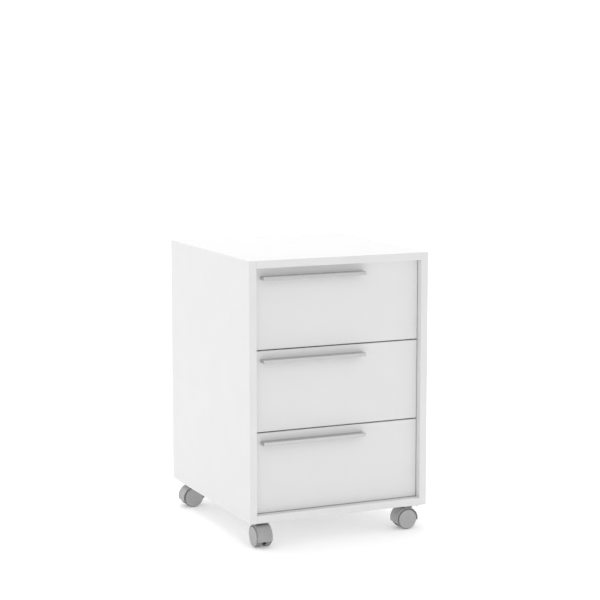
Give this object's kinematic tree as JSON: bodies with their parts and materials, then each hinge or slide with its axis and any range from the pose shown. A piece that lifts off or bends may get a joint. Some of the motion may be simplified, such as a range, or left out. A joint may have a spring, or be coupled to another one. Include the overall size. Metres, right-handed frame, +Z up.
{
  "type": "rolling pedestal cabinet",
  "caption": "Low white office cabinet on casters with full-extension drawers behind a recessed frame, each opened by an offset lip handle.",
  "frame": {"origin": "on the floor, under the middle of the object's bounding box with the casters turned as at rest", "axes": "+Z up; the drawers open towards -Y; +X to the right when facing the drawers"},
  "size_m": [0.4204, 0.4652, 0.599],
  "materials": {
    "white_board": "melamine-faced board, matt white, edges banded in the same white",
    "drawer_board": "foil-wrapped board, matt white",
    "drawer_hardboard": "thin lacquered hardboard, white",
    "handle_aluminium": "satin anodised, natural silver",
    "slide_steel": "zinc-plated cold-rolled sheet",
    "caster_steel": "zinc-plated pressed sheet",
    "caster_plastic": "moulded nylon, mid grey",
    "wheel_plastic": "moulded nylon, mid grey"
  },
  "bodies": {
    "carcass": {"left_side_panel": "white_board", "right_side_panel": "white_board", "top_panel": "white_board", "bottom_panel": "white_board", "back_panel": "white_board", "bottom_left_cabinet_member": "slide_steel", "bottom_right_cabinet_member": "slide_steel", "middle_left_cabinet_member": "slide_steel", "middle_right_cabinet_member": "slide_steel", "top_left_cabinet_member": "slide_steel", "top_right_cabinet_member": "slide_steel", "front_left_caster_plate": "caster_steel", "front_right_caster_plate": "caster_steel", "back_left_caster_plate": "caster_steel", "back_right_caster_plate": "caster_steel"},
    "bottom_drawer": {"bottom_drawer_front": "white_board", "bottom_drawer_left_side": "drawer_board", "bottom_drawer_right_side": "drawer_board", "bottom_drawer_back": "drawer_board", "bottom_drawer_bottom": "drawer_hardboard", "bottom_drawer_handle": "handle_aluminium", "bottom_left_drawer_member": "slide_steel", "bottom_right_drawer_member": "slide_steel"},
    "bottom_slide_intermediates": {"bottom_left_intermediate_member": "slide_steel", "bottom_right_intermediate_member": "slide_steel"},
    "middle_drawer": {"middle_drawer_front": "white_board", "middle_drawer_left_side": "drawer_board", "middle_drawer_right_side": "drawer_board", "middle_drawer_back": "drawer_board", "middle_drawer_bottom": "drawer_hardboard", "middle_drawer_handle": "handle_aluminium", "middle_left_drawer_member": "slide_steel", "middle_right_drawer_member": "slide_steel"},
    "middle_slide_intermediates": {"middle_left_intermediate_member": "slide_steel", "middle_right_intermediate_member": "slide_steel"},
    "top_drawer": {"top_drawer_front": "white_board", "top_drawer_left_side": "drawer_board", "top_drawer_right_side": "drawer_board", "top_drawer_back": "drawer_board", "top_drawer_bottom": "drawer_hardboard", "top_drawer_handle": "handle_aluminium", "top_left_drawer_member": "slide_steel", "top_right_drawer_member": "slide_steel"},
    "top_slide_intermediates": {"top_left_intermediate_member": "slide_steel", "top_right_intermediate_member": "slide_steel"},
    "front_left_swivel": {"front_left_caster_hood": "caster_plastic"},
    "front_left_outer_wheel": {"front_left_caster_outer_wheel": "wheel_plastic"},
    "front_left_inner_wheel": {"front_left_caster_inner_wheel": "wheel_plastic"},
    "front_right_swivel": {"front_right_caster_hood": "caster_plastic"},
    "front_right_outer_wheel": {"front_right_caster_outer_wheel": "wheel_plastic"},
    "front_right_inner_wheel": {"front_right_caster_inner_wheel": "wheel_plastic"},
    "back_left_swivel": {"back_left_caster_hood": "caster_plastic"},
    "back_left_outer_wheel": {"back_left_caster_outer_wheel": "wheel_plastic"},
    "back_left_inner_wheel": {"back_left_caster_inner_wheel": "wheel_plastic"},
    "back_right_swivel": {"back_right_caster_hood": "caster_plastic"},
    "back_right_outer_wheel": {"back_right_caster_outer_wheel": "wheel_plastic"},
    "back_right_inner_wheel": {"back_right_caster_inner_wheel": "wheel_plastic"}
  },
  "joints": [
    {"name": "bottom_drawer_slide", "type": "slide", "parent": "carcass", "child": "bottom_drawer", "axis": [0, -1, 0], "range_m": [0, 0.4]},
    {"name": "bottom_intermediate_slide", "type": "slide", "parent": "carcass", "child": "bottom_slide_intermediates", "axis": [0, -1, 0], "range_m": [0, 0.2]},
    {"name": "middle_drawer_slide", "type": "slide", "parent": "carcass", "child": "middle_drawer", "axis": [0, -1, 0], "range_m": [0, 0.4]},
    {"name": "middle_intermediate_slide", "type": "slide", "parent": "carcass", "child": "middle_slide_intermediates", "axis": [0, -1, 0], "range_m": [0, 0.2]},
    {"name": "top_drawer_slide", "type": "slide", "parent": "carcass", "child": "top_drawer", "axis": [0, -1, 0], "range_m": [0, 0.4]},
    {"name": "top_intermediate_slide", "type": "slide", "parent": "carcass", "child": "top_slide_intermediates", "axis": [0, -1, 0], "range_m": [0, 0.2]},
    {"name": "front_left_swivel_turn", "type": "hinge", "parent": "carcass", "child": "front_left_swivel", "pos_m": [-0.175, -0.1974, 0.045], "axis": [0, 0, 1], "continuous": true},
    {"name": "front_left_outer_wheel_spin", "type": "hinge", "parent": "front_left_swivel", "child": "front_left_outer_wheel", "pos_m": [-0.175, -0.2074, 0.0225], "axis": [1, 0, 0], "continuous": true},
    {"name": "front_left_inner_wheel_spin", "type": "hinge", "parent": "front_left_swivel", "child": "front_left_inner_wheel", "pos_m": [-0.175, -0.2074, 0.0225], "axis": [1, 0, 0], "continuous": true},
    {"name": "front_right_swivel_turn", "type": "hinge", "parent": "carcass", "child": "front_right_swivel", "pos_m": [0.175, -0.1974, 0.045], "axis": [0, 0, 1], "continuous": true},
    {"name": "front_right_outer_wheel_spin", "type": "hinge", "parent": "front_right_swivel", "child": "front_right_outer_wheel", "pos_m": [0.165, -0.1974, 0.0225], "axis": [0, 1, 0], "continuous": true},
    {"name": "front_right_inner_wheel_spin", "type": "hinge", "parent": "front_right_swivel", "child": "front_right_inner_wheel", "pos_m": [0.165, -0.1974, 0.0225], "axis": [0, 1, 0], "continuous": true},
    {"name": "back_left_swivel_turn", "type": "hinge", "parent": "carcass", "child": "back_left_swivel", "pos_m": [-0.175, 0.1686, 0.045], "axis": [0, 0, 1], "continuous": true},
    {"name": "back_left_outer_wheel_spin", "type": "hinge", "parent": "back_left_swivel", "child": "back_left_outer_wheel", "pos_m": [-0.185, 0.1686, 0.0225], "axis": [0, 1, 0], "continuous": true},
    {"name": "back_left_inner_wheel_spin", "type": "hinge", "parent": "back_left_swivel", "child": "back_left_inner_wheel", "pos_m": [-0.185, 0.1686, 0.0225], "axis": [0, 1, 0], "continuous": true},
    {"name": "back_right_swivel_turn", "type": "hinge", "parent": "carcass", "child": "back_right_swivel", "pos_m": [0.175, 0.1686, 0.045], "axis": [0, 0, 1], "continuous": true},
    {"name": "back_right_outer_wheel_spin", "type": "hinge", "parent": "back_right_swivel", "child": "back_right_outer_wheel", "pos_m": [0.185, 0.1686, 0.0225], "axis": [0, 1, 0], "continuous": true},
    {"name": "back_right_inner_wheel_spin", "type": "hinge", "parent": "back_right_swivel", "child": "back_right_inner_wheel", "pos_m": [0.185, 0.1686, 0.0225], "axis": [0, 1, 0], "continuous": true}
  ],
  "couplings": [
    {"joint": "bottom_intermediate_slide", "follows": "bottom_drawer_slide", "ratio": 0.5},
    {"joint": "middle_intermediate_slide", "follows": "middle_drawer_slide", "ratio": 0.5},
    {"joint": "top_intermediate_slide", "follows": "top_drawer_slide", "ratio": 0.5}
  ]
}
